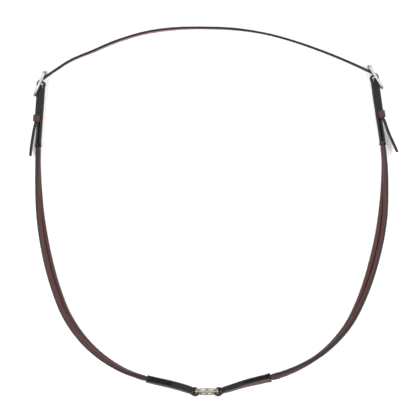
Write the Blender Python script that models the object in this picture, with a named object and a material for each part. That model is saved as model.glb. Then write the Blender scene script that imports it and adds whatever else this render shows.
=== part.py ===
"""Neck strap of a riding martingale, standing on its strap edges.

A closed loop: one flat neck strap over the withers, two centre-bar buckles,
two side straps of paired rolled-leather cords, and one round ring at the
breast. Metres, +Z up, +Y towards the withers, origin under the box centre.
"""
import math

import bmesh
import bpy
from mathutils import Vector

MM = 0.001

# Fits
GAP = 0.3 * MM                  # between pieces that touch on the real strap
RING_PLAY = 0.5 * MM            # round the ring's wire in its leather loops
BUCKLE_PLAY = 1.9 * MM          # from the strap's edge to the buckle's rail

# Flat neck strap
STRAP_WIDTH = 16.0 * MM
STRAP_THICKNESS = 2.8 * MM
STRAP_POINT = 12.0 * MM         # length of each rounded point
TIP_BLUNT = 0.22                # of the width, left square at the tip
NECK_DROP_RUN = 120.0 * MM      # the strap settles on its edge over this run
HOLE_SPACING = 25.0 * MM
HOLE_DIAMETER = 4.5 * MM
HOLES_EACH_WAY = 3

# Buckles: two rails, two end bars, a dropped centre bar and a tongue
BUCKLE_LENGTH = 36.0 * MM
BUCKLE_WIRE = 3.6 * MM
BUCKLE_WIDTH = STRAP_WIDTH + 2 * (BUCKLE_PLAY + BUCKLE_WIRE)
BUCKLE_CORNER = 5.0 * MM
BAR_DIAMETER = 3.4 * MM
BAR_DROP = 3.4 * MM             # centre bar inward of the rails
TONGUE_EYE_WALL = 1.2 * MM
TONGUE_EYE_WIDTH = 4.0 * MM
TONGUE_THICKNESS = 2.2 * MM
TONGUE_OVERHANG = 1.4 * MM      # past the middle of the end bar
TONGUE_SWING = math.radians(15)
SLOT_PAST = 2.0 * MM            # the chape's slot cutter runs this far past the fold
FRAME_ROCK = math.radians(7)

# Chapes: leather folded round a bar or the ring, two layers and a filler
CHAPE_WIDTH = STRAP_WIDTH
CHAPE_LAYER = 2.4 * MM
CHAPE_FOLD = 2.0 * MM           # skived leather at the buckle's fold
RING_FOLD = 2.6 * MM            # left thick at the ring's fold
CHAPE_LIP = 1.4 * MM            # skived leather at the open end
UPPER_FILLER = 1.2 * MM
FOLD_MEET = math.radians(35)    # where the straight legs leave the fold's round
RING_LOOP_WIDTH = 10.0 * MM
LOOP_WIDENING = 14.0 * MM       # the ring's loop widens to the chape over this

# Keepers: leather loops stitched in between the upper chape's layers
KEEPER_LENGTH = 8.4 * MM
KEEPER_WALL = 1.2 * MM
KEEPER_SLACK = 0.8 * MM
KEEPER_CORNER = 0.3 * MM        # inside the loop

# Rolled cords, with ends pressed flat between the chape's layers
CORD_DIAMETER = 6.4 * MM
COVER_WALL = 1.6 * MM           # leather rolled round the core
PRESSED_BORE = 0.4              # of the thickness, where the end is pressed flat
TAB_HALF_WIDTH = CHAPE_WIDTH / 4 - 1.5 * GAP
TAB_MOUTH = 7.0 * MM            # flat to round: this far inside the lip
CORD_MOUTH = 4.0 * MM           # and this far outside it
SPREAD_START = 6.0 * MM         # the cords part this far past the lip

# Ring
RING_DIAMETER = 35.0 * MM
RING_WIRE = 4.6 * MM
RING_LEAN = math.radians(11.3)  # its top towards the withers

# The points below were laid out round this centre; the origin is the box's.
LAYOUT_CENTRE = Vector((1.0, 1.0))


def laid_out(x, y):
    return (Vector((x, y)) - LAYOUT_CENTRE) * MM


RING_CENTRE = laid_out(-7.9, -224.0)

SIDE_SAG = 5.0 * MM             # side straps hang this much between supports
LEAN_START = 0.55               # of a side strap's length: upright above this

# Chosen by hand (mm): the side straps' centre lines from buckle bar to ring,
# the neck strap's route, where each free tail flares out, and the chapes'
# lengths, the lower ones' fillers and the keepers' places, which differ a
# little as sewn by hand.
SIDES = {
    "left": {
        "sign": -1,
        "bar": (-213.4, 160.0),
        "route": [
            (-215.4, 130), (-217.5, 102), (-218.8, 80), (-219.1, 58), (-218.4, 30),
            (-216.7, 2.5), (-213.0, -26), (-206.8, -58), (-197.6, -92), (-183.3, -128.5),
            (-163.8, -157.5), (-140.6, -180), (-112.5, -197.6), (-84.4, -207.6),
            (-56, -214.2), (-36, -219.6),
        ],
        "tail": [(15, 1.6), (25, 2.6), (35, 3.6), (47.5, 4.6)],
        "spread": [
            (0, 0), (0.06, 0.6), (0.28, 4.2), (0.55, 4.5), (0.78, 3.0), (0.93, 1.2), (1, 0),
        ],
        "chapes": (78.5, 62.0),
        "filler": 2.8,
        "keeper": 42.5,
        "slack": 0.7 * MM,
        "lean": (math.radians(9), RING_LEAN),
    },
    "right": {
        "sign": 1,
        "bar": (200.3, 167.9),
        "route": [
            (203.2, 147), (206.0, 128), (208.8, 110), (211.4, 93), (213.4, 77), (214.8, 58),
            (214.9, 40), (214.2, 18), (212.2, -6), (208.2, -33), (203.2, -55), (195.6, -82),
            (185.3, -110), (171.2, -138), (154.5, -159.5), (134, -178), (110, -192.6),
            (84.4, -203.1), (60, -209.2), (40, -214), (22, -219.6),
        ],
        "tail": [(11, 1.8), (16, 2.6), (26, 4.6), (36, 7.6), (49, 12.2)],
        "spread": [
            (0, 0), (0.05, 1.0), (0.25, 5.4), (0.38, 6.2), (0.55, 4.8), (0.8, 1.6), (1, 0),
        ],
        "chapes": (84.5, 67.5),
        "filler": 1.4,
        "keeper": 46.0,
        "slack": 1.6 * MM,
        "lean": (math.radians(20), RING_LEAN),
    },
}
NECK_ROUTE = [
    (-195.0, 179.4), (-178.1, 190.2), (-150, 202), (-121.9, 214), (-84.4, 225.2), (-46.9, 230.3),
    (-9.4, 231.2), (28.1, 229.6), (65.6, 224.1), (103.1, 213.9), (140.6, 200.4), (172, 187.2),
]
NECK_LEAN = (math.radians(-2.5), math.radians(3))   # left and right of the middle
NECK_UPRIGHT = 18.0 * MM        # either side of the middle, where it stands upright
NECK_LEAN_RUN = 42.0 * MM       # from there, until it leans as far as above

# Sizes that follow from the ones above
STRAP_HALF = STRAP_THICKNESS / 2
BAR_RADIUS = BAR_DIAMETER / 2
WIRE_RADIUS = BUCKLE_WIRE / 2
END_BAR = BUCKLE_LENGTH / 2 - WIRE_RADIUS
BAR_HEIGHT = BUCKLE_WIDTH / 2
RING_MEAN = (RING_DIAMETER - RING_WIRE) / 2
RING_HEIGHT = RING_MEAN * math.cos(RING_LEAN) + RING_WIRE / 2
CHAPE_FACE = UPPER_FILLER / 2 + GAP + CHAPE_LAYER
CORD_RADIUS = CORD_DIAMETER / 2
STRAP_ON_CHAPE = CHAPE_FACE + GAP + STRAP_HALF
FOLD_OUTER = BAR_RADIUS + GAP + CHAPE_FOLD
WRAP_RADIUS = FOLD_OUTER + GAP + STRAP_HALF


def smoothstep(t):
    t = min(max(t, 0.0), 1.0)
    return t * t * (3 - 2 * t)


def blend(p, q, start, end, t):
    return p.lerp(q, (t - start) / (end - start))


def spline(points, steps=10):
    """Points on a centripetal Catmull-Rom curve through the given points."""
    points = [Vector(p) for p in points]
    ends = [2 * points[0] - points[1]] + points + [2 * points[-1] - points[-2]]
    out = []
    for p0, p1, p2, p3 in zip(ends, ends[1:], ends[2:], ends[3:]):
        t1 = (p1 - p0).length ** 0.5
        t2 = t1 + (p2 - p1).length ** 0.5
        t3 = t2 + (p3 - p2).length ** 0.5
        for i in range(steps):
            t = t1 + (t2 - t1) * i / steps
            a = blend(p0, p1, 0, t1, t)
            b = blend(p1, p2, t1, t2, t)
            c = blend(p2, p3, t2, t3, t)
            out.append(blend(blend(a, b, 0, t2, t), blend(b, c, t1, t3, t), t1, t2, t))
    out.append(points[-1])
    return out


class Route:
    """A curve read by its length, carried on straight past both ends."""

    def __init__(self, points):
        self.points = points
        self.marks = [0.0]
        for a, b in zip(points, points[1:]):
            self.marks.append(self.marks[-1] + (b - a).length)
        self.length = self.marks[-1]

    def at(self, s):
        k = 1
        while k < len(self.marks) - 1 and self.marks[k] < s:
            k += 1
        a, b = self.points[k - 1], self.points[k]
        return a + (b - a) * (s - self.marks[k - 1]) / (self.marks[k] - self.marks[k - 1])

    def tangent(self, s):
        step = 1.5 * MM
        return (self.at(s + step) - self.at(s - step)).normalized()


class Side:
    """One side strap's own coordinates: s along it, n outward, u up."""

    def __init__(self, name):
        data = SIDES[name]
        self.name = name
        self.sign = data["sign"]
        wire = RING_CENTRE + Vector((self.sign * RING_MEAN, 0))
        inner = [laid_out(*p) for p in data["route"]]
        self.bar = laid_out(*data["bar"])
        self.line = Route(spline([self.bar] + inner + [wire]))
        self.length = self.line.length
        self.tail = data["tail"]
        self.lean = data["lean"]
        self.slack = data["slack"]
        self.upper, self.lower = [length * MM for length in data["chapes"]]
        self.lower_filler = data["filler"] * MM
        self.keeper = data["keeper"] * MM
        neck_end = NECK_ROUTE[0] if self.sign < 0 else NECK_ROUTE[-1]
        self.neck_end = laid_out(*neck_end)
        knots = [Vector((f, w * MM)) for f, w in data["spread"]]
        self.spread_curve = spline(knots)
        self.cord_start = self.upper + SPREAD_START
        self.cord_end = self.length - self.lower - SPREAD_START
        # The cords' flat ends reach up to the keeper, and as far in below.
        self.tab = self.upper - self.keeper - KEEPER_LENGTH / 2 - GAP
        # The frame lies as the strap under its lower end bar lets it.
        reach = math.hypot(END_BAR, BAR_DROP)
        rise = STRAP_ON_CHAPE + STRAP_HALF + WIRE_RADIUS + self.slack
        self.tilt = math.asin(rise / reach) - math.atan2(BAR_DROP, END_BAR)

    def height(self, s):
        f = min(max(s / self.length, 0.0), 1.0)
        return BAR_HEIGHT + (RING_HEIGHT - BAR_HEIGHT) * f - SIDE_SAG * math.sin(math.pi * f) ** 2

    def place(self, s, n, u):
        """A point of the strap, which leans inward, and at the ring with it."""
        p = self.line.at(s)
        t = self.line.tangent(s)
        out = Vector((-t.y, t.x, 0)) * self.sign
        far, near = self.lean
        begin = LEAN_START * self.length
        start = self.length - self.lower
        at_ring = smoothstep((s - start) / self.lower)
        lean = far * smoothstep((s - begin) / (start - begin)) + (near - far) * at_ring
        away = out.lerp(Vector((0, -1, 0)), at_ring).normalized()
        up = Vector((0, 0, math.cos(lean))) - away * math.sin(lean)
        across = (out - up * out.dot(up)).normalized()
        return Vector((p.x, p.y, self.height(s))) + across * n + up * u

    def spread(self, s):
        f = (s - self.cord_start) / (self.cord_end - self.cord_start)
        if not 0 < f < 1:
            return 0.0
        for a, b in zip(self.spread_curve, self.spread_curve[1:]):
            if a.x <= f <= b.x:
                return a.y + (b.y - a.y) * (f - a.x) / (b.x - a.x)
        return 0.0

    def buckle_axes(self):
        """Unit vectors up the tilted frame and outward from it."""
        t = self.line.tangent(0)
        out = Vector((-t.y, t.x)) * self.sign
        along = -(t * math.cos(self.tilt) + out * math.sin(self.tilt))
        outward = out * math.cos(self.tilt) - t * math.sin(self.tilt)
        return along, outward


def material(name, colour, roughness, metallic=0.0):
    found = bpy.data.materials.get(name)
    if found:
        return found
    made = bpy.data.materials.new(name)
    made.use_nodes = True
    shader = made.node_tree.nodes["Principled BSDF"]
    shader.inputs["Base Color"].default_value = (*colour, 1)
    shader.inputs["Roughness"].default_value = roughness
    shader.inputs["Metallic"].default_value = metallic
    return made


LEATHER = ("havana_leather", (0.075, 0.040, 0.032), 0.5)
EDGE_LEATHER = ("edge_dyed_leather", (0.032, 0.030, 0.032), 0.55)
KEEPER_LEATHER = ("keeper_leather", (0.17, 0.075, 0.05), 0.5)
CORE = ("cotton_core", (0.55, 0.50, 0.42), 0.9)
STEEL = ("bright_steel", (0.75, 0.75, 0.76), 0.18, 1.0)
NICKEL = ("ring_nickel", (0.72, 0.68, 0.62), 0.2, 1.0)


def finish(name, bm, finish_values, angle=35.0, parent=None):
    """Makes an object of a bmesh, with its faces outward and its material."""
    bmesh.ops.recalc_face_normals(bm, faces=bm.faces)
    mesh = bpy.data.meshes.new(name)
    bm.to_mesh(mesh)
    bm.free()
    mesh.shade_smooth()
    mesh.set_sharp_from_angle(angle=math.radians(angle))
    mesh.materials.append(material(*finish_values))
    made = bpy.data.objects.new(name, mesh)
    bpy.context.collection.objects.link(made)
    made.parent = parent
    return made


def sweep(rings, closed=False):
    """Skins a row of equal rings of points, capped unless it closes."""
    bm = bmesh.new()
    rows = [[bm.verts.new(p) for p in ring] for ring in rings]
    pairs = list(zip(rows, rows[1:]))
    if closed:
        pairs.append((rows[-1], rows[0]))
    for a, b in pairs:
        for i in range(len(a)):
            j = (i + 1) % len(a)
            bm.faces.new((a[i], a[j], b[j], b[i]))
    if not closed:
        bm.faces.new(rows[0])
        bm.faces.new(rows[-1])
    return bm


def tube_skin(outer, bore):
    """An open-ended tube between two rows of equal rings."""
    bm = bmesh.new()
    rows = [[[bm.verts.new(p) for p in ring] for ring in rings] for rings in (outer, bore)]
    count = len(outer[0])
    for skin in rows:
        for a, b in zip(skin, skin[1:]):
            for i in range(count):
                j = (i + 1) % count
                bm.faces.new((a[i], a[j], b[j], b[i]))
    for end in (0, -1):
        a, b = rows[0][end], rows[1][end]
        for i in range(count):
            j = (i + 1) % count
            bm.faces.new((a[i], a[j], b[j], b[i]))
    return bm


def cutter(name, bm):
    made = finish(name, bm, LEATHER)
    made.hide_render = True
    made.display_type = "WIRE"
    return made


def boolean(target, other, operation):
    cut = target.modifiers.new(operation.lower(), "BOOLEAN")
    cut.operation = operation
    cut.solver = "EXACT"
    cut.object = other


def tube(points, radius, sides=12):
    """A round tube along 3-D points, with flat ends."""
    rings = []
    points = [Vector(p) for p in points]
    side = None
    for i, p in enumerate(points):
        before = points[max(i - 1, 0)]
        after = points[min(i + 1, len(points) - 1)]
        t = (after - before).normalized()
        if side is None:
            side = t.orthogonal().normalized()
        side = (side - t * side.dot(t)).normalized()
        up = t.cross(side)
        turn = 2 * math.pi / sides
        rings.append([
            p + radius * (math.cos(k * turn) * side + math.sin(k * turn) * up)
            for k in range(sides)
        ])
    return sweep(rings)


# Chapes and fillers

def cord_half(beyond, filler):
    """Half thickness of a cord at a distance outside the chape's lip."""
    rise = smoothstep((beyond + TAB_MOUTH) / (TAB_MOUTH + CORD_MOUTH))
    return filler / 2 + (CORD_RADIUS - filler / 2) * rise


def fold_end(cavity, filler, fold):
    """Distance from the bar's axis to where the layers lie parallel, inside
    the fold and outside it, and the angle where the fold's inside ends."""
    gap_half = filler / 2 + GAP
    meet = max(FOLD_MEET, math.asin(gap_half / cavity))
    drop = cavity * math.sin(meet) - gap_half
    inside = cavity * math.cos(meet) + drop * math.tan(meet)
    return inside, math.sqrt((cavity + fold) ** 2 - (gap_half + CHAPE_LAYER) ** 2), meet


def chape_half(x, fold_width):
    """Half the chape's width at a distance from its fold's axis."""
    return (fold_width + (CHAPE_WIDTH - fold_width) * smoothstep(x / LOOP_WIDENING)) / 2


def make_chape(side, name, length, cavity, filler, fold, stretch, fold_width, to_s):
    """Leather folded round a bar: out along one leg, round, back the other."""
    leg = []
    inside, outside, meet = fold_end(cavity, filler, fold)
    leg_start = max(inside, outside) + GAP
    count = round((length - leg_start) / (4 * MM))
    for i in range(count + 1):
        x = length + (leg_start - length) * i / count
        inner = cord_half(x - length, filler) + GAP
        skive = smoothstep((x - length + TAB_MOUTH) / TAB_MOUTH)
        thick = CHAPE_LAYER + (CHAPE_LIP - CHAPE_LAYER) * skive
        leg.append(((x, inner + thick), (x, inner)))
    bend = []
    arc_steps = 12
    outer_meet = math.acos(outside / (cavity + fold))
    for i in range(arc_steps + 1):
        a = meet + (math.pi - meet) * i / arc_steps
        b = outer_meet + (math.pi - outer_meet) * i / arc_steps
        shift = -stretch * smoothstep((a - meet) / (math.pi / 2 - meet))
        bend.append((
            (shift + (cavity + fold) * math.cos(b), (cavity + fold) * math.sin(b)),
            (shift + cavity * math.cos(a), cavity * math.sin(a)),
        ))
    half = leg + bend
    other = [tuple((x, -n) for x, n in pair) for pair in reversed(half[:-1])]
    rings = []
    for outer, inner in half + other:
        rings.append([
            side.place(to_s(x), n, u * chape_half(x, fold_width))
            for (x, n), u in ((outer, 1), (inner, 1), (inner, -1), (outer, -1))
        ])
    return finish(name, sweep(rings), EDGE_LEATHER)


def make_filler(side, name, start, end, thickness, fold_width, to_s):
    rings = []
    count = max(round((end - start) / (4 * MM)), 2)
    half = thickness / 2
    for i in range(count + 1):
        x = start + (end - start) * i / count
        reach = chape_half(x, fold_width) - GAP
        rings.append([
            side.place(to_s(x), n, u)
            for n, u in ((half, reach), (half, -reach), (-half, -reach), (-half, reach))
        ])
    return finish(name, sweep(rings), EDGE_LEATHER)


def upper_chape(side):
    chape = make_chape(side, f"{side.name}_upper_chape", side.upper, BAR_RADIUS + GAP,
                       UPPER_FILLER, CHAPE_FOLD, 0.0, CHAPE_WIDTH, lambda x: x)
    slot_back = BAR_RADIUS + GAP + TONGUE_EYE_WALL + 2 * GAP
    reach = FOLD_OUTER + SLOT_PAST
    high = TONGUE_EYE_WIDTH / 2 + GAP
    corners = ((reach, high), (reach, -high), (-reach, -high), (-reach, high))
    rings = [[side.place(s, n, u) for n, u in corners] for s in (-reach, slot_back)]
    boolean(chape, cutter(f"cut_{side.name}_tongue_slot", sweep(rings)), "DIFFERENCE")
    filler_start = slot_back + 2 * GAP
    filler_end = side.keeper - KEEPER_LENGTH / 2 - GAP
    make_filler(side, f"{side.name}_upper_filler", filler_start, filler_end, UPPER_FILLER,
                CHAPE_WIDTH, lambda x: x)


def lower_chape(side):
    cavity = RING_WIRE / 2 + RING_PLAY
    # The ring curves away from the loop across the loop's width.
    inner_radius = RING_MEAN - RING_WIRE / 2
    bow = inner_radius - math.sqrt(inner_radius ** 2 - (RING_LOOP_WIDTH / 2) ** 2)
    filler = side.lower_filler
    make_chape(side, f"{side.name}_lower_chape", side.lower, cavity, filler, RING_FOLD, bow,
               RING_LOOP_WIDTH, lambda x: side.length - x)
    filler_start = fold_end(cavity, filler, RING_FOLD)[0] + 2 * GAP
    make_filler(side, f"{side.name}_lower_filler", filler_start, side.lower - side.tab - GAP,
                filler, RING_LOOP_WIDTH, lambda x: side.length - x)


# Rolled cords: a leather cover with a seam, round a core

def cord_stops(side, first, last):
    """Stations along a cord, close together where it changes shape."""
    mouths = (side.upper, side.length - side.lower)
    stops = [first, last]
    for mouth, way in zip(mouths, (1, -1)):
        steps = 5
        for i in range(steps + 1):
            stops.append(mouth + way * (-TAB_MOUTH + (TAB_MOUTH + CORD_MOUTH) * i / steps))
        stops.append(mouth - way * (TAB_MOUTH + side.tab) / 2)
    start = mouths[0] + CORD_MOUTH
    run = mouths[1] - CORD_MOUTH - start
    count = round(run / (10 * MM))
    stops += [start + run * i / count for i in range(1, count)]
    return sorted(stops)


def cord_section(side, s, level, wall, sides):
    """The cord's outline at s, less a wall's thickness all round."""
    past_upper, past_lower = s - side.upper, side.length - side.lower - s
    beyond = min(past_upper, past_lower)
    filler = UPPER_FILLER if past_upper < past_lower else side.lower_filler
    round_share = smoothstep((beyond + TAB_MOUTH) / (TAB_MOUTH + CORD_MOUTH))
    tall = TAB_HALF_WIDTH + (CORD_RADIUS - TAB_HALF_WIDTH) * round_share
    apart = side.spread(s)
    pitch = 2 * tall + 1.4 * GAP
    n = level * apart / 2
    u = level * math.sqrt(pitch ** 2 - apart ** 2) / 2
    thick = cord_half(beyond, filler)
    rise = tall
    if wall:
        thick = max(thick - wall, PRESSED_BORE * thick)
        rise = min(tall - wall, 1.6 * thick)
    turn = 2 * math.pi / sides
    return [
        side.place(s, n + thick * math.cos(k * turn), u + rise * math.sin(k * turn))
        for k in range(sides)
    ]


def make_cord(side, name, level):
    """level is 1 for the upper, outer cord and -1 for the lower, inner one."""
    first = side.upper - side.tab
    last = side.length - side.lower + side.tab
    stops = cord_stops(side, first, last)
    sides = 10
    outer = [cord_section(side, s, level, 0.0, sides) for s in stops]
    bore = [cord_section(side, s, level, COVER_WALL, sides) for s in stops]
    finish(f"{name}_cover", tube_skin(outer, bore), LEATHER)
    core_stops = [
        s for s in stops
        if side.upper + CORD_MOUTH < s < side.length - side.lower - CORD_MOUTH
    ]
    core = [cord_section(side, s, level, COVER_WALL + GAP, 6) for s in core_stops]
    finish(f"{name}_core", sweep(core), CORE)


# Keepers

def rounded_loop(low_n, high_n, half_u, corner, steps=4):
    centres = (
        (high_n - corner, half_u - corner, 0), (low_n + corner, half_u - corner, 90),
        (low_n + corner, -half_u + corner, 180), (high_n - corner, -half_u + corner, 270),
    )
    loop = []
    for n, u, start in centres:
        for i in range(steps + 1):
            a = math.radians(start + 90 * i / steps)
            loop.append((n + corner * math.cos(a), u + corner * math.sin(a)))
    return loop


def make_keeper(side):
    far = STRAP_ON_CHAPE + STRAP_HALF + KEEPER_SLACK
    low = UPPER_FILLER / 2
    half_u = STRAP_WIDTH / 2 + GAP
    inner = rounded_loop(low, far, half_u, KEEPER_CORNER)
    outer = rounded_loop(low - KEEPER_WALL, far + KEEPER_WALL, half_u + KEEPER_WALL,
                         KEEPER_CORNER + KEEPER_WALL)
    ends = [side.keeper - KEEPER_LENGTH / 2, side.keeper + KEEPER_LENGTH / 2]
    rings = [
        [side.place(s, n, u) for n, u in loop]
        for s, loop in ((ends[0], inner), (ends[0], outer), (ends[1], outer), (ends[1], inner))
    ]
    return finish(f"{side.name}_keeper", sweep(rings, closed=True), KEEPER_LEATHER)


# Neck strap

def strap_leaves(side):
    """Where the strap leaves the fold, as an angle round the bar from
    straight outward, and its straight run from there to the neck's end."""
    t = side.line.tangent(0)
    out = Vector((-t.y, t.x)) * side.sign
    to_neck = side.neck_end - side.bar
    neck_angle = math.atan2(-to_neck.dot(t), to_neck.dot(out))
    leave = neck_angle - math.acos(WRAP_RADIUS / to_neck.length)
    return leave, math.sqrt(to_neck.length ** 2 - WRAP_RADIUS ** 2)


def polar(side, radius, angle):
    t = side.line.tangent(0)
    out = Vector((-t.y, t.x)) * side.sign
    return side.bar + radius * (out * math.cos(angle) - t * math.sin(angle))


def strap_half_route(side):
    """From the free tip, through the keeper and round the fold."""
    points = []
    for ds, dn in reversed(side.tail):
        p = side.place(side.keeper + ds * MM, STRAP_ON_CHAPE + dn * MM, 0)
        points.append(Vector((p.x, p.y)))
    half = KEEPER_LENGTH / 2
    for s in (side.keeper + half, side.keeper - half, side.keeper / 2, 2 * WRAP_RADIUS):
        p = side.place(s, STRAP_ON_CHAPE, 0)
        points.append(Vector((p.x, p.y)))
    leave, straight = strap_leaves(side)
    arc_steps = 5
    for i in range(arc_steps + 1):
        points.append(polar(side, WRAP_RADIUS, leave * i / arc_steps))
    for share in (0.3, 0.6):
        run = straight * share
        points.append(
            polar(side, math.hypot(WRAP_RADIUS, run), leave + math.atan2(run, WRAP_RADIUS)))
    return points


def stadium(length, width, centre, along, up, depth):
    """An upright slot cutter: round ends, lying along the strap."""
    through = along.cross(up)
    radius = width / 2
    steps = 8
    outline = []
    for start, shift in ((-90, 1), (90, -1)):
        for i in range(steps + 1):
            a = math.radians(start + 180 * i / steps)
            run = shift * (length / 2 - radius) + radius * math.cos(a)
            outline.append((run, radius * math.sin(a)))
    return [
        [centre + along * run + up * rise + through * d for run, rise in outline]
        for d in (-depth, depth)
    ]


def tongue_angle(side):
    """The tongue's direction round the bar, resting over the end bar."""
    reach = math.hypot(END_BAR, BAR_DROP)
    rest = WIRE_RADIUS + TONGUE_THICKNESS / 2 + GAP
    lift = math.atan2(BAR_DROP, END_BAR) + math.asin(rest / reach)
    return math.pi / 2 + side.tilt - lift


def tongue_slot(side):
    """Start and end of the tongue's slot, along the strap from the fold."""
    leave = strap_leaves(side)[0]
    ends = []
    for swing, way in ((TONGUE_SWING + FRAME_ROCK, -1), (FRAME_ROCK, 1)):
        lean = tongue_angle(side) + way * swing - leave
        cross = WRAP_RADIUS * math.tan(lean)
        shank = TONGUE_THICKNESS / 2 / math.cos(lean)
        ends.append(cross + way * (STRAP_HALF * abs(math.tan(lean)) + shank + 2 * GAP))
    return ends


def make_neck_strap(sides):
    left, right = sides
    start = strap_half_route(left)
    end = list(reversed(strap_half_route(right)))
    neck = [laid_out(*p) for p in NECK_ROUTE]
    route = Route(spline(start + neck + end, steps=6))

    def mark_of(point):
        return min(range(len(route.points)), key=lambda k: (route.points[k] - point).length)

    leaves = [route.marks[mark_of(polar(s, WRAP_RADIUS, strap_leaves(s)[0]))] for s in sides]
    bars = [route.marks[mark_of(polar(s, WRAP_RADIUS, 0))] for s in sides]

    def frame(s):
        """Middle of the strap, along it, through it outward, and up it."""
        p = route.at(s)
        t = route.tangent(s)
        out = Vector((-t.y, t.x, 0))
        from_left, from_right = s - leaves[0], leaves[1] - s
        settled = smoothstep(min(from_left, from_right) / NECK_DROP_RUN)
        lean = NECK_LEAN[0] if p.x < 0 else NECK_LEAN[1]
        lean *= settled * smoothstep((abs(p.x) - NECK_UPRIGHT) / NECK_LEAN_RUN)
        up = Vector((0, 0, math.cos(lean))) - out * math.sin(lean)
        across = out * math.cos(lean) + Vector((0, 0, math.sin(lean)))
        rest = STRAP_WIDTH / 2 * math.cos(lean) + STRAP_HALF * abs(math.sin(lean))
        z = BAR_HEIGHT + (rest - BAR_HEIGHT) * settled
        if s < bars[0]:
            z = left.height(bars[0] - s)
        if s > bars[1]:
            z = right.height(s - bars[1])
        return Vector((p.x, p.y, z)), Vector((t.x, t.y, 0)), across, up

    tip_stops = [STRAP_POINT * f for f in (0, 0.06, 0.2, 0.45, 0.75, 1)]
    middle_stops = [
        m for m in route.marks[1::2] if STRAP_POINT * 1.2 < m < route.length - STRAP_POINT * 1.2
    ]
    rings = []
    for s in sorted(tip_stops + middle_stops + [route.length - m for m in tip_stops]):
        centre, t, across, up = frame(s)
        from_end = min(s, route.length - s) / STRAP_POINT
        full = math.sqrt(max(1 - (1 - min(from_end, 1)) ** 2, 0))
        half = STRAP_WIDTH / 2 * (TIP_BLUNT + (1 - TIP_BLUNT) * full)
        rings.append([
            centre + across * n + up * u
            for n, u in ((STRAP_HALF, half), (STRAP_HALF, -half), (-STRAP_HALF, -half), (-STRAP_HALF, half))
        ])
    strap = finish("neck_strap", sweep(rings), EDGE_LEATHER)

    holes = bmesh.new()
    for side, leave, way in ((left, leaves[0], 1), (right, leaves[1], -1)):
        slot = tongue_slot(side)
        middle = leave + way * (slot[0] + slot[1]) / 2
        cuts = [(middle, slot[1] - slot[0], TONGUE_EYE_WIDTH)]
        for k in range(1, HOLES_EACH_WAY + 1):
            cuts.append((middle + k * HOLE_SPACING, HOLE_DIAMETER, HOLE_DIAMETER))
            cuts.append((middle - k * HOLE_SPACING, HOLE_DIAMETER, HOLE_DIAMETER))
        for s, length, width in cuts:
            centre, t, across, up = frame(s)
            rows = stadium(length, width, centre, t, up, STRAP_THICKNESS)
            loops = [[holes.verts.new(p) for p in row] for row in rows]
            count = len(loops[0])
            for i in range(count):
                j = (i + 1) % count
                holes.faces.new((loops[0][i], loops[0][j], loops[1][j], loops[1][i]))
            holes.faces.new(loops[0])
            holes.faces.new(loops[1])
    bmesh.ops.remove_doubles(holes, verts=holes.verts, dist=1e-6)
    boolean(strap, cutter("cut_strap_holes", holes), "DIFFERENCE")


# Buckles

def make_buckle(side):
    axis = bpy.data.objects.new(f"{side.name}_buckle_axis", None)
    bpy.context.collection.objects.link(axis)
    along = side.buckle_axes()[0]
    axis.location = (side.bar.x, side.bar.y, BAR_HEIGHT)
    axis.rotation_euler = (0, 0, math.atan2(along.y, along.x))
    outward = -side.sign

    rail = BUCKLE_WIDTH / 2 - WIRE_RADIUS
    path = rounded_loop(-END_BAR, END_BAR, rail, BUCKLE_CORNER, steps=5)
    rings = []
    section = 12
    for i, (t, z) in enumerate(path):
        before, after = path[i - 1], path[(i + 1) % len(path)]
        run = Vector((after[0] - before[0], 0, after[1] - before[1])).normalized()
        sideways = Vector((run.z, 0, -run.x))
        centre = Vector((t, outward * BAR_DROP, z))
        turn = 2 * math.pi / section
        rings.append([
            centre + WIRE_RADIUS * (
                math.cos(k * turn) * sideways + math.sin(k * turn) * Vector((0, 1, 0)))
            for k in range(section)
        ])
    frame = finish(f"{side.name}_buckle_frame", sweep(rings, closed=True), STEEL, parent=axis)

    bend = CHAPE_WIDTH / 2 + 2.5 * GAP
    route = [
        (0, outward * BAR_DROP, -rail), (0, outward * BAR_DROP * 0.72, -rail + 0.5 * MM),
        (0, 0, -bend), (0, 0, bend),
        (0, outward * BAR_DROP * 0.72, rail - 0.5 * MM), (0, outward * BAR_DROP, rail),
    ]
    bar = cutter(f"add_{side.name}_centre_bar", tube(route, BAR_RADIUS))
    bar.parent = axis
    boolean(frame, bar, "UNION")
    make_tongue(side, axis, outward)


def make_tongue(side, axis, outward):
    """An eye that turns on the centre bar, and a shank to over the end bar."""
    bore = BAR_RADIUS + GAP
    eye = bore + TONGUE_EYE_WALL
    steps = 24
    half = TONGUE_EYE_WIDTH / 2
    turn = 2 * math.pi / steps
    rings = []
    for radius, z in ((bore, -half), (eye, -half), (eye, half), (bore, half)):
        rings.append([
            Vector((radius * math.cos(k * turn), radius * math.sin(k * turn), z))
            for k in range(steps)
        ])
    tongue = finish(f"{side.name}_buckle_tongue", sweep(rings, closed=True), STEEL, parent=axis)

    lift = math.pi / 2 + side.tilt - tongue_angle(side)
    reach = math.hypot(END_BAR, BAR_DROP)
    rest = WIRE_RADIUS + TONGUE_THICKNESS / 2 + GAP
    tip = math.sqrt(reach ** 2 - rest ** 2) + TONGUE_OVERHANG
    along = Vector((math.cos(lift), outward * math.sin(lift), 0))
    sideways = Vector((-along.y, along.x, 0))
    root = bore + TONGUE_EYE_WALL / 2
    stations = (
        (root, 0.5), (tip * 0.5, 0.5), (tip * 0.85, 0.47), (tip - 0.5 * MM, 0.4), (tip, 0.22),
    )
    sides = 10
    shank_rings = []
    for run, share in stations:
        thick = TONGUE_THICKNESS * share
        turn = 2 * math.pi / sides
        shank_rings.append([
            along * run + thick * (
                math.cos(k * turn) * sideways + 1.15 * math.sin(k * turn) * Vector((0, 0, 1)))
            for k in range(sides)
        ])
    shank = cutter(f"add_{side.name}_tongue_shank", sweep(shank_rings))
    shank.parent = axis
    boolean(tongue, shank, "UNION")


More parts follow.
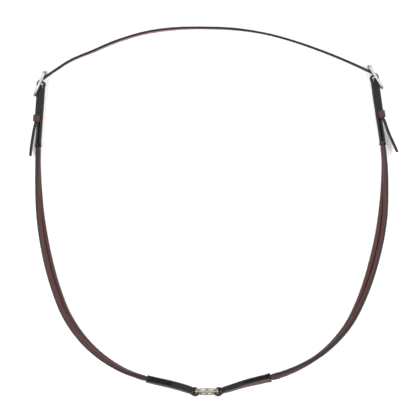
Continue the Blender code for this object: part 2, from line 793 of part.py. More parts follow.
def make_ring():
    steps = 36
    section = 12
    rings = []
    for i in range(steps):
        a = 2 * math.pi * i / steps
        spoke = Vector((math.cos(a), 0, math.sin(a)))
        turn = 2 * math.pi / section
        rings.append([
            spoke * (RING_MEAN + RING_WIRE / 2 * math.cos(k * turn))
            + Vector((0, RING_WIRE / 2 * math.sin(k * turn), 0))
            for k in range(section)
        ])
    ring = finish("centre_ring", sweep(rings, closed=True), NICKEL, angle=60)
    ring.rotation_euler = (-RING_LEAN, 0, 0)
    ring.location = (RING_CENTRE.x, RING_CENTRE.y, RING_HEIGHT)


for old in list(bpy.data.objects):
    bpy.data.objects.remove(old, do_unlink=True)

both = [Side("left"), Side("right")]
make_neck_strap(both)
make_ring()
for one in both:
    make_buckle(one)
    upper_chape(one)
    lower_chape(one)
    make_keeper(one)
    make_cord(one, f"{one.name}_outer_cord", 1)
    make_cord(one, f"{one.name}_inner_cord", -1)
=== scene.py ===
"""A riding martingale's neck strap, standing on its edge on a pale studio floor.

A flat neck strap, two centre-bar buckles, two side straps of paired rolled
cords held in folded chapes, and a breast ring. Sections follow the making.
"""
import math

import bmesh
import bpy
import numpy as np
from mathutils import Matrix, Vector


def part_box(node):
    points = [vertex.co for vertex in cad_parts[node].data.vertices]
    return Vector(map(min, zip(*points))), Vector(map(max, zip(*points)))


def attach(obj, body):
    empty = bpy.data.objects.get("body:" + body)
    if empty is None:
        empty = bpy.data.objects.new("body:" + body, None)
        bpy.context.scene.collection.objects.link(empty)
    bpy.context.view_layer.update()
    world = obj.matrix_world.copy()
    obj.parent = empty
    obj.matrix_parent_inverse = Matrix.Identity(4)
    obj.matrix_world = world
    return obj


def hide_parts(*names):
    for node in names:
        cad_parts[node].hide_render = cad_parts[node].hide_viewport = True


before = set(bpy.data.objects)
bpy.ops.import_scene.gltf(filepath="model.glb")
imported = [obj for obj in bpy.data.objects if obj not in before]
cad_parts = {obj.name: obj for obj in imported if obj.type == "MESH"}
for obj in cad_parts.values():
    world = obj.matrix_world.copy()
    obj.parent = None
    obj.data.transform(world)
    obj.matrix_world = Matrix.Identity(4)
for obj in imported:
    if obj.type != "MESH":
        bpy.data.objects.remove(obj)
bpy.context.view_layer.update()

MM = 0.001
SIDES = ("left", "right")
OUTWARD = {"left": -1, "right": 1}
SHARP = math.radians(45)        # edges sharper than this are cut edges


# ---------------------------------------------------------------------------
# Helpers: colours, shader nodes, and work on one piece at a time.
# ---------------------------------------------------------------------------
MERGE = 0.001 * MM


def linear(code):
    """An sRGB hex colour as linear red, green, blue and alpha."""
    parts = [int(code[i:i + 2], 16) / 255 for i in (1, 3, 5)]
    return [p / 12.92 if p <= 0.04045 else ((p + 0.055) / 1.055) ** 2.4 for p in parts] + [1.0]


def add_node(tree, kind, settings=(), links=()):
    """Adds a node, sets its properties or inputs, and links its inputs."""
    made = tree.nodes.new(kind)
    for key, value in dict(settings).items():
        if isinstance(key, str) and hasattr(made, key):
            setattr(made, key, value)
        else:
            made.inputs[key].default_value = value
    for key, socket in dict(links).items():
        tree.links.new(socket, made.inputs[key])
    return made


def new_material(name):
    """A material with its node tree and its shader."""
    made = bpy.data.materials.new(name)
    made.use_nodes = True
    return made, made.node_tree, made.node_tree.nodes["Principled BSDF"]


def place_on_object(tree):
    """Where a point lies on the object, in metres."""
    return add_node(tree, "ShaderNodeTexCoord").outputs["Object"]


def feed(tree, shader, sockets):
    """Links sockets to the shader's inputs."""
    for key, socket in sockets.items():
        tree.links.new(socket, shader.inputs[key])


def noise(tree, place, size, **settings):
    """Noise whose features are about as large as size, in metres."""
    settings = {key.capitalize(): value for key, value in settings.items()}
    settings["Scale"] = 1 / size
    return add_node(tree, "ShaderNodeTexNoise", settings, {"Vector": place}).outputs["Fac"]


def blend(tree, dark, light, share):
    """A colour between two sRGB codes."""
    settings = {"data_type": "RGBA", 6: linear(dark), 7: linear(light)}
    return add_node(tree, "ShaderNodeMix", settings, {0: share}).outputs[2]


def remap(tree, value, low, high, start=0.0, end=1.0):
    """A value carried from the range start to end to the range low to high."""
    settings = {"From Min": start, "From Max": end, "To Min": low, "To Max": high}
    return add_node(tree, "ShaderNodeMapRange", settings, {"Value": value}).outputs[0]


def bumps(tree, height, strength, distance):
    """A normal that follows a height."""
    settings = {"Strength": strength, "Distance": distance}
    return add_node(tree, "ShaderNodeBump", settings, {"Height": height}).outputs[0]


def make_active(piece):
    """Selects one object alone."""
    bpy.ops.object.select_all(action="DESELECT")
    bpy.context.view_layer.objects.active = piece
    piece.select_set(True)


def apply_modifier(piece, kind, **settings):
    """Adds a modifier with its settings, and applies it."""
    make_active(piece)
    made = piece.modifiers.new(kind.lower(), kind)
    for key, value in settings.items():
        setattr(made, key, value)
    bpy.ops.object.modifier_apply(modifier=made.name)


def merged_copy(node, name):
    """A copy of a CAD piece to work on, merged and in four-sided faces."""
    piece = bpy.data.objects.new(name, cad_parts[node].data.copy())
    bpy.context.collection.objects.link(piece)
    make_active(piece)
    bpy.ops.object.mode_set(mode="EDIT")
    bpy.ops.mesh.select_all(action="SELECT")
    bpy.ops.mesh.remove_doubles(threshold=MERGE)
    bpy.ops.mesh.tris_convert_to_quads(
        face_threshold=math.radians(10), shape_threshold=math.radians(65))
    bpy.ops.mesh.customdata_custom_splitnormals_clear()
    bpy.ops.object.mode_set(mode="OBJECT")
    piece.data.materials.clear()
    return piece


def placed(piece, body, slot, *nodes):
    """Puts a piece on the body it rides on and hides the nodes it replaces. The slot is not used."""
    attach(piece, body)
    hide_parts(*nodes)


def linked(mesh, material):
    """A smooth object of a mesh and its material, in the scene."""
    mesh.shade_smooth()
    mesh.materials.append(material)
    made = bpy.data.objects.new(mesh.name, mesh)
    bpy.context.collection.objects.link(made)
    return made


# ---------------------------------------------------------------------------
# Studio: a matt white floor under a bright white ceiling with darker walls,
# and a long softbox on either side. The camera is far above, so that it looks
# almost straight down on the edges of the straps everywhere.
# ---------------------------------------------------------------------------
EYE = Vector((-7.25, 4.6, 4000.0)) * MM
LENS_MM = 275.7
FLOOR_SIZE = 8.0
CEILING = (1.02, 1.04, 1.06)
WALLS = (0.62, 0.62, 0.64)
CEILING_FROM = 0.9              # how far up a ray looks, where it sees only ceiling
SOFTBOX_HEIGHT = 1.6
SOFTBOX = (1.2, 3.4)            # across and along, in metres
SOFTBOXES = ((-1.1, 37.0), (1.1, 32.0))    # x in metres, watts

bpy.ops.object.select_all(action="DESELECT")
bpy.ops.object.camera_add(location=EYE, rotation=(0, 0, 0))
camera = bpy.context.object
camera.name = "studio_camera"
camera.data.lens = LENS_MM
camera.data.sensor_width = 36.0
camera.data.clip_start = 0.05
bpy.context.scene.camera = camera
bpy.context.scene.view_settings.view_transform = "Standard"

for x, watts in SOFTBOXES:
    bpy.ops.object.light_add(type="AREA", location=(x, 0, SOFTBOX_HEIGHT))
    lamp = bpy.context.object
    lamp.data.shape = "RECTANGLE"
    lamp.data.size, lamp.data.size_y = SOFTBOX
    lamp.data.energy = watts
    lamp.rotation_euler = (0, math.atan2(x, SOFTBOX_HEIGHT), 0)

# The room's air: dim at the walls, bright overhead.
world = bpy.data.worlds.new("studio_room")
world.use_nodes = True
room = world.node_tree
direction = add_node(room, "ShaderNodeTexCoord").outputs["Generated"]
upward = add_node(room, "ShaderNodeSeparateXYZ", (), {0: direction})
bright = add_node(
    room, "ShaderNodeMapRange", {"interpolation_type": "SMOOTHSTEP", "From Max": CEILING_FROM},
    {"Value": upward.outputs["Z"]})
glow = add_node(
    room, "ShaderNodeMix", {"data_type": "RGBA", 6: (*WALLS, 1), 7: (*CEILING, 1)},
    {0: bright.outputs[0]})
room.links.new(glow.outputs[2], room.nodes["Background"].inputs["Color"])
bpy.context.scene.world = world

# White painted board: matt, so it takes only the softest shade.
white_board, _, shader = new_material("matt_white_board")
shader.inputs["Base Color"].default_value = linear("#fdfdfd")
shader.inputs["Roughness"].default_value = 0.9
shader.inputs["Specular IOR Level"].default_value = 0.0

bpy.ops.mesh.primitive_plane_add(size=FLOOR_SIZE, location=(0, 0, 0))
floor = bpy.context.object
floor.name = "studio_floor"
floor.data.materials.append(white_board)


# ---------------------------------------------------------------------------
# Leather: havana bridle leather, vegetable tanned, curried with wax and dyed
# dark brown, with its cut edges dyed black and rubbed, and a lighter flesh side.
# ---------------------------------------------------------------------------
GRAIN_CELL = 0.9 * MM           # pebbles of the grain side
MOTTLE = 14.0 * MM              # clouds in the dye
FIBRE = 0.35 * MM               # fibres of a cut edge
FIBRE_CLUMP = 2.2 * MM          # drawn coarse, so that the cut shows from far off
THREAD_TWIST = 0.4 * MM


def leather(name, dark, light, roughness, gloss, sheen, grain_height):
    """Grain leather: a pebbled skin with cloudy dye and a waxed face."""
    made, tree, shader = new_material(name)
    place = place_on_object(tree)
    clouds = noise(tree, place, MOTTLE, detail=4.0, roughness=0.6)
    pores = add_node(tree, "ShaderNodeTexVoronoi", {"Scale": 1 / GRAIN_CELL}, {"Vector": place})
    pebble = pores.outputs["Distance"]
    hair = noise(tree, place, GRAIN_CELL / 3, detail=2.0)
    shade = add_node(
        tree, "ShaderNodeMix", {"data_type": "RGBA", "blend_type": "MULTIPLY", 0: 1.0},
        {6: blend(tree, dark, light, clouds), 7: remap(tree, pebble, 0.72, 1.05, end=0.5)})
    height = add_node(
        tree, "ShaderNodeMath", {"operation": "MULTIPLY_ADD", 1: 0.35}, {0: hair, 2: pebble})
    feed(tree, shader, {
        "Base Color": shade.outputs[2],
        "Roughness": remap(tree, clouds, roughness - 0.07, roughness + 0.09),
        "Normal": bumps(tree, height.outputs[0], 0.5, grain_height),
    })
    shader.inputs["Specular IOR Level"].default_value = gloss
    shader.inputs["Sheen Weight"].default_value = sheen
    shader.inputs["Sheen Roughness"].default_value = 0.4
    return made


# Grain side: dark reddish brown with a soft waxed shine and a fine pebble.
grain_side = leather("havana_bridle_leather", "#3a1d18", "#583029", 0.58, 0.16, 0.0, 0.10 * MM)
# Flesh side: paler, matt and slightly furry, with its wax rubbed in.
flesh_side = leather("havana_leather_flesh_side", "#6b463e", "#8a6459", 0.75, 0.16, 0.1, 0.16 * MM)

# Cut edge: black edge dye over close fibres, rubbed to a dull shine.
cut_edge, tree, shader = new_material("black_dyed_leather_edge")
place = place_on_object(tree)
clumps = noise(tree, place, FIBRE_CLUMP, detail=5.0, roughness=0.7)
fibres = noise(tree, place, FIBRE, detail=3.0)
height = add_node(
    tree, "ShaderNodeMath", {"operation": "MULTIPLY_ADD", 1: 0.4}, {0: fibres, 2: clumps})
feed(tree, shader, {
    "Base Color": blend(tree, "#040405", "#171719", remap(tree, clumps, 0.0, 1.0, 0.3, 0.7)),
    "Roughness": remap(tree, fibres, 0.42, 0.7),
    "Normal": bumps(tree, height.outputs[0], 0.6, 0.25 * MM),
})
shader.inputs["Specular IOR Level"].default_value = 0.25

# Waxed linen thread: dark brown, laid in close twisted stitches.
thread, tree, shader = new_material("waxed_linen_thread")
twist = noise(tree, place_on_object(tree), THREAD_TWIST, detail=2.0)
feed(tree, shader, {
    "Base Color": blend(tree, "#1d1512", "#3a2920", twist),
    "Normal": bumps(tree, twist, 0.5, 0.1 * MM),
})
shader.inputs["Roughness"].default_value = 0.5

# Rolled leather: the same hide, stretched darker and glossier, with the black
# ridge drawn from the piece's own ridge attribute.
rolled_leather = leather("rolled_havana_leather", "#2d1512", "#472622", 0.42, 0.24, 0.0, 0.08 * MM)
tree = rolled_leather.node_tree
shader = tree.nodes["Principled BSDF"]
brown = shader.inputs["Base Color"].links[0].from_socket
speck = noise(tree, place_on_object(tree), FIBRE_CLUMP, detail=4.0)
ridge = add_node(tree, "ShaderNodeAttribute", {"attribute_name": "ridge"}).outputs["Fac"]
edged = add_node(
    tree, "ShaderNodeMix", {"data_type": "RGBA"},
    {0: ridge, 6: brown, 7: blend(tree, "#0b0b0c", "#1e1e21", speck)})
feed(tree, shader, {"Base Color": edged.outputs[2]})

# Keeper leather: thinner, redder and glossier than the straps.
keeper_leather = leather("chestnut_keeper_leather", "#2a120c", "#411f15", 0.42, 0.3, 0.0, 0.09 * MM)


# ---------------------------------------------------------------------------
# Reading swept pieces: rows of points along them, smooth values between the
# rows, and stitches laid on them.
# ---------------------------------------------------------------------------
STITCH_PITCH = 3.0 * MM
STITCH_LENGTH = 2.3 * MM
STITCH_RADIUS = 0.22 * MM
STITCH_SIDES = 6
# A stitch's sections: share of its length, rise and swell, both in radii.
STITCH_SECTIONS = ((0, -1.1, 0.6), (0.16, -0.1, 0.9), (0.5, 0.15, 1), (0.84, -0.1, 0.9), (1, -1.1, 0.6))


def neighbours_of(mesh):
    """The points that each point shares an edge with."""
    near = [[] for _ in mesh.vertices]
    for edge in mesh.edges:
        a, b = edge.vertices
        near[a].append(b)
        near[b].append(a)
    return near


def rows_from(near, first):
    """Rows of points along a swept piece, each one edge further from its end."""
    seen = set(first)
    rows = [sorted(first)]
    while True:
        row = {n for v in rows[-1] for n in near[v]} - seen
        if not row:
            return rows
        seen |= row
        rows.append(sorted(row))


def marks_along(line):
    """How far along a line of points each one is."""
    steps = np.linalg.norm(np.diff(line, axis=0), axis=1)
    return np.concatenate([[0], np.cumsum(steps)])


def eased(marks, values, at):
    """Values carried smoothly between marks, with no corner at a mark."""
    values = np.asarray(values)
    slopes = np.gradient(values, marks, axis=0)
    k = np.clip(np.searchsorted(marks, at) - 1, 0, len(marks) - 2)
    run = marks[k + 1] - marks[k]
    t = (at - marks[k]) / run
    shape = (slice(None),) + (None,) * (values.ndim - 1)
    t, run = t[shape], run[shape]
    return (
        (2 * t ** 3 - 3 * t ** 2 + 1) * values[k] + (t ** 3 - 2 * t ** 2 + t) * run * slopes[k]
        + (3 * t ** 2 - 2 * t ** 3) * values[k + 1] + (t ** 3 - t ** 2) * run * slopes[k + 1]
    )


def unit(rows):
    return rows / np.linalg.norm(rows, axis=-1, keepdims=True)


def add_stitch(bm, start, end, lift):
    """One stitch: a short thread that dives into the leather at both ends."""
    start, end, lift = Vector(start), Vector(end), Vector(lift)
    along = (end - start).normalized()
    side = along.cross(lift).normalized()
    turns = [k * 2 * math.pi / STITCH_SIDES for k in range(STITCH_SIDES)]
    rings = []
    for share, rise, swell in STITCH_SECTIONS:
        centre = start.lerp(end, share) + lift * (rise * STITCH_RADIUS)
        rings.append([
            bm.verts.new(centre + (side * math.cos(a) + lift * math.sin(a)) * STITCH_RADIUS * swell)
            for a in turns
        ])
    for a, b in zip(rings, rings[1:]):
        for k in range(STITCH_SIDES):
            j = (k + 1) % STITCH_SIDES
            bm.faces.new((a[k], a[j], b[j], b[k]))
    bm.faces.new(rings[0])
    bm.faces.new(rings[-1])


def finish_stitches(bm, name):
    """Makes a run of stitches one piece of thread on the leather body."""
    bmesh.ops.recalc_face_normals(bm, faces=bm.faces)
    mesh = bpy.data.meshes.new(name)
    bm.to_mesh(mesh)
    bm.free()
    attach(linked(mesh, thread), "leather")


# ---------------------------------------------------------------------------
# Rolled cords: two on each side. A strip of leather is rolled round a cotton
# core, its edges stitched together, trimmed to a low ridge and dyed black.
# The ends are pressed flat and sewn into the chapes.
# ---------------------------------------------------------------------------
CORD_STEP = 2.2 * MM
CORD_SIDES = 32
CORD_RADIUS = 3.2 * MM
END_ROW = 1.0 * MM              # points this near the upper end are its first row
RIDGE_HEIGHT = 0.6 * MM
RIDGE_WIDTH = 3.1 * MM
GROOVE_DEPTH = 0.14 * MM
GROOVE_WIDTH = 0.35 * MM
GROOVE_AT = 0.68 * RIDGE_WIDTH  # round the skin, from the ridge's crest
PRESSED_HALF = 1.5 * MM         # no thicker than this each way, a cord is flat
ROUNDING = 1.2 * MM             # and it is round when it is this much thicker
MOUTH_SWELL = 0.45 * MM         # between the two it fills the chape's mouth
SEAM_TURN = 0.72 * RIDGE_WIDTH / CORD_RADIUS
SEAM_RADIUS = 3.1 * MM          # from the cord's centre to its stitches
SEAM_FROM_CORD_END = 36.0 * MM
# Where the ridge looks along each cord: share of its length, and degrees
# round it from straight outward, with 90 at the top.
RIDGE_TURN = {
    "left_outer": (
        (0, 90), (0.1, 88), (0.16, 72), (0.22, 60), (0.3, 48), (0.38, 32), (0.7, 28), (0.82, 60),
        (0.9, 85), (1, 90),
    ),
    "left_inner": ((0, 215), (0.3, 230), (0.7, 205), (1, 180)),
    "right_outer": (
        (0, 60), (0.13, 58), (0.22, 50), (0.29, 38), (0.36, 55), (0.45, 66), (0.6, 80), (0.75, 95),
        (0.85, 112), (1, 130),
    ),
    "right_inner": ((0, 225), (0.4, 235), (1, 215)),
}


def cord_axes(centres, outward):
    """Outward and upward across a cord, at each of its centres."""
    tangents = unit(np.gradient(centres, axis=0))
    across = unit(np.cross((0, 0, 1.0), tangents)) * outward
    up = np.cross(across, tangents)
    return across, up * np.sign(up[:, 2:3])


def press_of(points, row, near, centre, across, up):
    """How a row's outer ring is pressed: it turns a circle's rays to its skin."""
    far = row[int(np.argmax(np.linalg.norm(points[row] - centre, axis=1)))]
    ring, grow = {far}, [far]
    while grow:
        for n in near[grow.pop()]:
            if n in row and n not in ring and len(ring) < len(row) // 2:
                ring.add(n)
                grow.append(n)
    rel = points[sorted(ring)] - centre
    flat = np.stack([rel @ across, rel @ up])
    size, turn = np.linalg.eigh(2 * flat @ flat.T / len(ring))
    return turn @ np.diag(np.sqrt(size)) @ turn.T


def cord_line(node, outward):
    """Close stations along a cord, its centre and its press at each."""
    guide = merged_copy(node, f"{node}_guide")
    points = np.array([v.co for v in guide.data.vertices])
    near = neighbours_of(guide.data)
    bpy.data.objects.remove(guide)
    top = points[:, 1].max()
    rows = rows_from(near, np.flatnonzero(points[:, 1] > top - END_ROW).tolist())
    centres = np.array([points[row].mean(0) for row in rows])
    across, up = cord_axes(centres, outward)
    presses = [
        press_of(points, row, near, *axes) for row, *axes in zip(rows, centres, across, up)
    ]
    marks = marks_along(centres)
    stops = np.linspace(0, marks[-1], round(marks[-1] / CORD_STEP) + 1)
    return stops, eased(marks, centres, stops), eased(marks, presses, stops)


def cord_section(presses, ridge_at):
    """The cord's section at each station, and how black the dye is on it."""
    around = np.arange(CORD_SIDES) * 2 * math.pi / CORD_SIDES
    angles = ridge_at[:, None] + around[None, :]
    rays = np.stack([np.cos(angles), np.sin(angles)], axis=-1)
    section = np.einsum("kij,ksj->ksi", presses, rays)
    radius = np.linalg.norm(section, axis=-1)
    # Distance round the skin from the ridge's crest.
    away = np.abs((around + math.pi) % (2 * math.pi) - math.pi)[None, :] * radius
    crest = np.clip(1 - (away / (RIDGE_WIDTH / 2)) ** 4, 0, 1)
    groove = np.exp(-((away - GROOVE_AT) / GROOVE_WIDTH) ** 2)
    roundness = np.clip((radius.min(1) - PRESSED_HALF) / ROUNDING, 0, 1)[:, None]
    grown = 1 + roundness * (crest * RIDGE_HEIGHT - groove * GROOVE_DEPTH) / radius
    grown += 4 * roundness * (1 - roundness) * MOUTH_SWELL / radius
    # The pressed ends are dyed black all over, with the chapes.
    black = np.clip(1.25 - (away / (RIDGE_WIDTH / 2)) ** 3, 0, 1)
    black = np.maximum(black, 1 - np.clip(roundness * 2, 0, 1))
    return section * grown[..., None], black


def roll_cord(name, skin, black):
    """The cord's mesh: four-sided faces between its rows, and two end caps."""
    count = len(skin)
    faces = []
    for i in range(count - 1):
        base = i * CORD_SIDES
        for k in range(CORD_SIDES):
            j = (k + 1) % CORD_SIDES
            faces.append((base + k, base + j, base + CORD_SIDES + j, base + CORD_SIDES + k))
    faces.append(tuple(range(CORD_SIDES)))
    faces.append(tuple(range((count - 1) * CORD_SIDES, count * CORD_SIDES)))
    mesh = bpy.data.meshes.new(name)
    mesh.from_pydata(skin.reshape(-1, 3).tolist(), [], faces)
    dye = mesh.attributes.new("ridge", "FLOAT", "POINT")
    dye.data.foreach_set("value", black.astype(np.float32).ravel())
    fix = bmesh.new()
    fix.from_mesh(mesh)
    bmesh.ops.recalc_face_normals(fix, faces=fix.faces)
    fix.to_mesh(mesh)
    fix.free()
    return linked(mesh, rolled_leather)


def sew_cord(name, stops, centres, across, up, ridge_at):
    """A row of stitches in the groove on the ridge's lower side."""
    last = len(stops) - 1

    def seat(s):
        k = min(int(s / stops[-1] * last), last - 1)
        centre = Vector(centres[k]).lerp(Vector(centres[k + 1]), s / stops[-1] * last - k)
        a = ridge_at[k] - SEAM_TURN
        lift = Vector(across[k] * math.cos(a) + up[k] * math.sin(a)).normalized()
        return centre + lift * SEAM_RADIUS, lift

    bm = bmesh.new()
    for mark in np.arange(SEAM_FROM_CORD_END, stops[-1] - SEAM_FROM_CORD_END, STITCH_PITCH):
        start, lift = seat(mark)
        add_stitch(bm, start, seat(mark + STITCH_LENGTH)[0], lift)
    finish_stitches(bm, name)


for side in SIDES:
    for level in ("outer", "inner"):
        cord = f"{side}_{level}"
        stops, centres, presses = cord_line(f"{cord}_cord_cover", OUTWARD[side])
        across, up = cord_axes(centres, OUTWARD[side])
        marks, turns = np.array(RIDGE_TURN[cord], float).T
        ridge_at = np.radians(eased(marks, turns, stops / stops[-1]))
        section, black = cord_section(presses, ridge_at)
        skin = section[..., :1] * across[:, None, :] + section[..., 1:] * up[:, None, :]
        rolled = roll_cord(f"{cord}_rolled_cord", centres[:, None, :] + skin, black)
        placed(rolled, "leather", "havana_leather", f"{cord}_cord_cover", f"{cord}_cord_core")
        sew_cord(f"{cord}_cord_stitches", stops, centres, across, up, ridge_at)


# ---------------------------------------------------------------------------
# Working flat leather: cut edges are bevelled with an edge tool, dyed and
# rubbed, and the hand-worked faces stray a little.
# ---------------------------------------------------------------------------
EDGE_BEVEL = 0.55 * MM
WOBBLE = 0.22 * MM              # how far hand-worked leather strays
WOBBLE_LENGTH = 9.0 * MM
BROAD = 2.0 * MM                # faces taller than this are broad ones
UPRIGHT = 0.6                   # how far up or down an upright face may look

unevenness = bpy.data.textures.new("hand_worked", "CLOUDS")
unevenness.noise_scale = WOBBLE_LENGTH
unevenness.noise_depth = 2


def mark_faces(piece, flesh_inside):
    """Gives broad faces the grain side (1), and cut ones the edge (0). Faces
    that look into the loop get the flesh side (2) where that is asked for."""
    bm = bmesh.new()
    bm.from_mesh(piece.data)
    for face in bm.faces:
        all_sharp = all(e.calc_face_angle(0) > SHARP for e in face.edges)
        heights = [v.co.z for v in face.verts]
        tall = max(heights) - min(heights) > BROAD
        upright = abs(face.normal.z) < UPRIGHT
        inward = face.normal.xy.dot(face.calc_center_median().xy) < 0
        face.material_index = 0
        if upright and tall and not all_sharp:
            face.material_index = 2 if inward and flesh_inside else 1
    bm.to_mesh(piece.data)
    bm.free()


def work_leather(piece, rounds, bevel, wobble=0):
    """Smooths a leather piece's run, rounds its cut edges, and wears it in."""
    if rounds:
        make_active(piece)
        bpy.ops.object.mode_set(mode="EDIT")
        bpy.ops.mesh.select_mode(type="EDGE")
        bpy.ops.mesh.select_all(action="DESELECT")
        bpy.ops.mesh.edges_select_sharp(sharpness=SHARP)
        bpy.ops.transform.edge_crease(value=1.0)
        bpy.ops.object.mode_set(mode="OBJECT")
        apply_modifier(piece, "SUBSURF", levels=rounds, render_levels=rounds)
    apply_modifier(
        piece, "BEVEL", limit_method="ANGLE", angle_limit=SHARP, width=bevel, segments=3,
        material=0, harden_normals=False)
    if wobble:
        apply_modifier(
            piece, "DISPLACE", texture=unevenness, texture_coords="LOCAL", strength=wobble,
            mid_level=0.5)
    piece.data.shade_smooth()
    apply_modifier(piece, "WEIGHTED_NORMAL", keep_sharp=True)


def leather_copy(node, *finishes):
    """A working copy of a leather node with its materials in order."""
    piece = merged_copy(node, f"{node}_leather")
    for finish in finishes:
        piece.data.materials.append(finish)
    return piece


# ---------------------------------------------------------------------------
# Neck strap: one long strap of 2.8 mm butt leather, edge up, wrapped outside
# each buckle's bar, with its tails through the keepers. It is cut with a plough
# gauge, and its holes are punched every 25 mm.
# ---------------------------------------------------------------------------
neck = leather_copy("neck_strap", cut_edge, grain_side, flesh_side)
mark_faces(neck, flesh_inside=True)
work_leather(neck, 0, EDGE_BEVEL)
placed(neck, "leather", "edge_dyed_leather", "neck_strap")


# ---------------------------------------------------------------------------
# Chapes: a strip of 2.4 mm leather folded round the buckle's bar or the ring
# and sewn to itself over a filler, with the cords' flat ends between. Two rows
# of stitches run along each outer face.
# ---------------------------------------------------------------------------
PRESSED = 0.27 * MM             # fillers swell between the layers, which closes the joint
SQUEEZED = 0.4 * MM             # and spread where the ring's loop pinches them
FILLER_BEVEL = 0.2 * MM
TIP_CLEARANCE = 0.1 * MM        # from a filler's tip to the ring's wire
RING_WIRE = 4.6 * MM
SEAM_FROM_EDGE = 2.6 * MM       # stitches run this far inside a chape's edges
SEAM_FROM_LIP = 4.0 * MM
SEAM_FROM_FOLD = 9.0 * MM

ring_low, ring_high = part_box("centre_ring")
ring_centre = (ring_low + ring_high) / 2
ring_radius = (ring_high.x - ring_low.x - RING_WIRE) / 2


def tuck_behind_ring(filler):
    """Draws a lower filler's thin end up to the ring's wire, and spreads it."""
    nearest = sorted(filler.data.vertices, key=lambda v: (v.co - ring_centre).length)[:4]
    tip = sum((vertex.co for vertex in nearest), Vector()) / 4
    wire = ring_centre + Vector((math.copysign(ring_radius, tip.x - ring_centre.x), 0, 0))
    to_wire = (wire - tip).xy.to_3d()
    toward = to_wire.normalized()
    tuck = to_wire.length - RING_WIRE / 2 - PRESSED - TIP_CLEARANCE
    for vertex in nearest:
        spread = (vertex.co - tip).xy.to_3d()
        spread -= toward * spread.dot(toward)
        vertex.co += toward * tuck + spread.normalized() * SQUEEZED


def chape_legs(node, fold):
    """A chape's two legs, from lip to fold: their rows of four corners."""
    guide = merged_copy(node, "chape_guide")
    bm = bmesh.new()
    bm.from_mesh(guide.data)
    caps = [f for f in bm.faces if all(e.calc_face_angle(0) > SHARP for e in f.edges)]
    caps = sorted(caps, key=lambda f: -(f.calc_center_median() - fold).length)[:2]
    lips = [[v.index for v in cap.verts] for cap in caps]
    bm.free()
    points = np.array([v.co for v in guide.data.vertices])
    near = neighbours_of(guide.data)
    bpy.data.objects.remove(guide)
    legs = []
    for lip in lips:
        rows = rows_from(near, lip)
        regular = next((i for i, row in enumerate(rows) if len(row) != 4), len(rows))
        legs.append([points[row] for row in rows[:min(regular, len(rows) // 2)]])
    return legs


def seam_lines(leg, other):
    """Two lines along a leg's outer face, near its edges, and which way it looks."""
    top, bottom, lifts = [], [], []
    for row, facing in zip(leg, other):
        away = unit(row.mean(0) - facing.mean(0))
        outer = sorted(row, key=lambda p: -(p @ away))[:2]
        high, low = sorted(outer, key=lambda p: -p[2])
        down = unit(low - high)
        top.append(high + down * SEAM_FROM_EDGE)
        bottom.append(low - down * SEAM_FROM_EDGE)
        lifts.append(away)
    return (top, bottom), lifts


for side in SIDES:
    for level in ("upper", "lower"):
        chape = leather_copy(f"{side}_{level}_chape", cut_edge, grain_side)
        mark_faces(chape, flesh_inside=False)
        work_leather(chape, 1, EDGE_BEVEL, WOBBLE)
        placed(chape, "leather", "edge_dyed_leather", f"{side}_{level}_chape")
        filler = leather_copy(f"{side}_{level}_filler", cut_edge)
        if level == "lower":
            tuck_behind_ring(filler)
        bpy.ops.object.mode_set(mode="EDIT")
        bpy.ops.mesh.select_all(action="SELECT")
        bpy.ops.transform.shrink_fatten(value=PRESSED)
        bpy.ops.object.mode_set(mode="OBJECT")
        work_leather(filler, 1, FILLER_BEVEL)
        placed(filler, "leather", "edge_dyed_leather", f"{side}_{level}_filler")

for side in SIDES:
    for level, fold_node in (("upper", f"{side}_buckle_frame"), ("lower", "centre_ring")):
        legs = chape_legs(f"{side}_{level}_chape", sum(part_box(fold_node), Vector()) / 2)
        bm = bmesh.new()
        for leg, other in (legs, legs[::-1]):
            lines, lifts = seam_lines(leg, other)
            for line in lines:
                marks = marks_along(line)
                starts = np.arange(SEAM_FROM_LIP, marks[-1] - SEAM_FROM_FOLD, STITCH_PITCH)
                ends = eased(marks, line, starts + STITCH_LENGTH)
                raised = unit(eased(marks, lifts, starts))
                for stitch in zip(eased(marks, line, starts), ends, raised):
                    add_stitch(bm, *stitch)
        finish_stitches(bm, f"{side}_{level}_chape_stitches")


# ---------------------------------------------------------------------------
# Keepers: a loop of thinner, redder leather round the tail and its chape, its
# ends butted and sewn into the chape. It dips over the joint between the two.
# ---------------------------------------------------------------------------
KEEPER_BEVEL = 0.4 * MM
KEEPER_DIP = 0.8 * MM
KEEPER_CREASE = 0.55 * MM


def crease(keeper):
    """Dips a keeper's upper and lower faces along the middle of its width."""
    spots = np.array([v.co for v in keeper.data.vertices])
    middle = (spots.max(0) + spots.min(0)) / 2
    flat = spots[:, :2] - middle[:2]
    axes = np.linalg.svd(flat - flat.mean(0), full_matrices=False)[2]
    run = axes[np.argmax(np.abs(axes[:, 1]))]
    offsets = flat @ np.array([-run[1], run[0]])
    for vertex, offset in zip(keeper.data.vertices, offsets):
        dip = KEEPER_DIP * math.exp(-(offset / KEEPER_CREASE) ** 2)
        vertex.co.z -= dip * math.copysign(1, vertex.co.z - middle[2])


for side in SIDES:
    keeper = leather_copy(f"{side}_keeper", keeper_leather)
    work_leather(keeper, 1, KEEPER_BEVEL)
    apply_modifier(keeper, "SUBSURF", levels=1, render_levels=1, subdivision_type="SIMPLE")
    crease(keeper)
    placed(keeper, "leather", "keeper_leather", f"{side}_keeper")


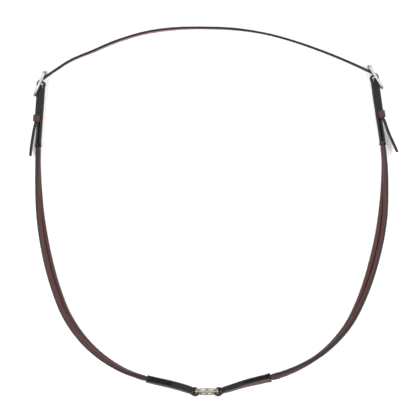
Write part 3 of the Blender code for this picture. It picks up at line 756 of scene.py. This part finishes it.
# ---------------------------------------------------------------------------
# Buckles: a frame with its centre bar, and a tongue with an eye round the bar,
# cast in stainless steel, tumbled smooth and polished bright.
# ---------------------------------------------------------------------------
SMEAR = 6.0 * MM
SCRATCH = 0.5 * MM
CASTING_GRAIN = 0.22 * MM       # how finely the cast surface is drawn


def polished(name, dark, light, roughness):
    """Polished metal: bright, with faint smears and hairline scratches."""
    made, tree, shader = new_material(name)
    place = place_on_object(tree)
    smear = noise(tree, place, SMEAR, detail=5.0)
    lines = noise(tree, place, SCRATCH, detail=6.0, distortion=1.5)
    feed(tree, shader, {
        "Base Color": blend(tree, dark, light, smear),
        "Roughness": remap(tree, smear, roughness * 0.6, roughness * 1.5),
        "Normal": bumps(tree, lines, 0.12, 0.02 * MM),
    })
    shader.inputs["Metallic"].default_value = 1.0
    return made


# Stainless steel: cool and bright, polished on a mop.
steel = polished("polished_stainless_steel", "#86868a", "#b0b0b2", 0.2)
# Nickel plate: a little warmer and duller than the steel.
nickel = polished("bright_nickel_plate", "#7a746c", "#a49d93", 0.26)

for side in SIDES:
    for what, body in (("buckle_frame", f"{side}_buckle"), ("buckle_tongue", f"{side}_tongue")):
        metal = merged_copy(f"{side}_{what}", f"{side}_{what}_steel")
        apply_modifier(metal, "REMESH", mode="VOXEL", voxel_size=CASTING_GRAIN)
        apply_modifier(metal, "SMOOTH", factor=0.5, iterations=6)
        metal.data.materials.clear()
        metal.data.materials.append(steel)
        metal.data.shade_smooth()
        placed(metal, body, "bright_steel", f"{side}_{what}")


# ---------------------------------------------------------------------------
# Breast ring: round wire, bent, welded, dressed smooth and nickel plated. It
# leans in its two loops.
# ---------------------------------------------------------------------------
lean = math.acos((ring_high.z - ring_low.z - RING_WIRE) / (2 * ring_radius))
bpy.ops.object.select_all(action="DESELECT")
bpy.ops.mesh.primitive_torus_add(
    location=ring_centre, rotation=(math.pi / 2 - lean, 0, 0), major_segments=120,
    minor_segments=32, major_radius=ring_radius, minor_radius=RING_WIRE / 2,
)
ring = bpy.context.object
ring.name = "breast_ring_nickel"
bpy.ops.object.transform_apply(location=True, rotation=True, scale=True)
ring.data.shade_smooth()
ring.data.materials.append(nickel)
placed(ring, "ring", "ring_nickel", "centre_ring")
